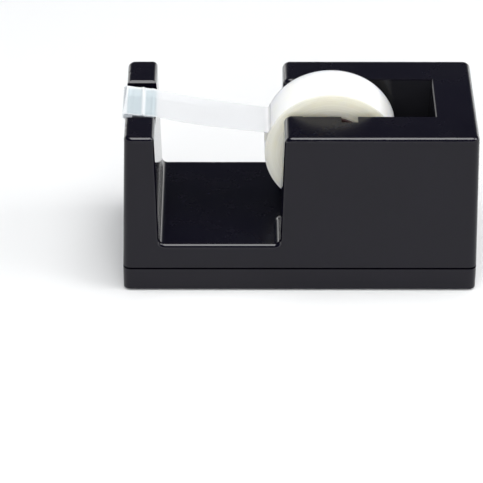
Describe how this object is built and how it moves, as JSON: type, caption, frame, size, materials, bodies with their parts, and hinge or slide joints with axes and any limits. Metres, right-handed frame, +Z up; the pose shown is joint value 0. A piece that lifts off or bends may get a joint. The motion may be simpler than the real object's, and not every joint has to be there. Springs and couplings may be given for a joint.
{
  "type": "tape dispenser",
  "caption": "Weighted desktop tape dispenser: glossy housing with a cutter post, open notch and scooped well, and a tape roll whose hub and axle lift out of slanted slots.",
  "frame": {"origin": "middle of the footprint, on the surface that the dispenser stands on", "axes": "+X from the cutter post to the block that holds the roll, +Y to the back along the roll's axle, +Z up"},
  "size_m": [0.14, 0.063, 0.0775],
  "materials": {
    "housing_shell": "glossy black moulding",
    "base_cover": "satin-gloss black moulding",
    "non_slip_pad": "matt black foam rubber",
    "ballast_plate_lower": "plain rolled steel",
    "ballast_plate_upper": "plain rolled steel",
    "ballast_foam": "soft grey foam",
    "ballast_screws": "zinc plated",
    "base_screws": "zinc plated",
    "seat_screws": "zinc plated",
    "blade_seat": "satin black",
    "cutter_blade": "bright stamped steel",
    "axle_pin": "ground steel",
    "axle_clips": "black plastic",
    "drag_washers": "dark fibre",
    "hub_front_half": "near-black plastic, slightly maroon",
    "hub_rear_half": "near-black plastic, slightly maroon",
    "tape_core": "white plastic core",
    "tape_roll": "frosted film, cream at the wound edge",
    "tape_strip": "frosted film"
  },
  "bodies": {
    "housing": {"housing_shell": "housing_shell", "base_cover": "base_cover", "non_slip_pad": "non_slip_pad", "ballast_plate_lower": "ballast_plate_lower", "ballast_plate_upper": "ballast_plate_upper", "ballast_foam": "ballast_foam", "ballast_screws": "ballast_screws", "base_screws": "base_screws", "blade_seat": "blade_seat", "cutter_blade": "cutter_blade", "seat_screws": "seat_screws"},
    "axle": {"axle_pin": "axle_pin", "axle_clips": "axle_clips", "drag_washers": "drag_washers", "tape_strip": "tape_strip"},
    "spool": {"hub_front_half": "hub_front_half", "hub_rear_half": "hub_rear_half", "tape_core": "tape_core", "tape_roll": "tape_roll"}
  },
  "joints": [
    {"name": "roll_lift", "type": "slide", "parent": "housing", "child": "axle", "axis": [0.3256, 0, 0.9455], "range_m": [0, 0.06]},
    {"name": "roll_spin", "type": "hinge", "parent": "axle", "child": "spool", "pos_m": [0.0121, 0, 0.0513], "axis": [0, 1, 0], "continuous": true}
  ]
}
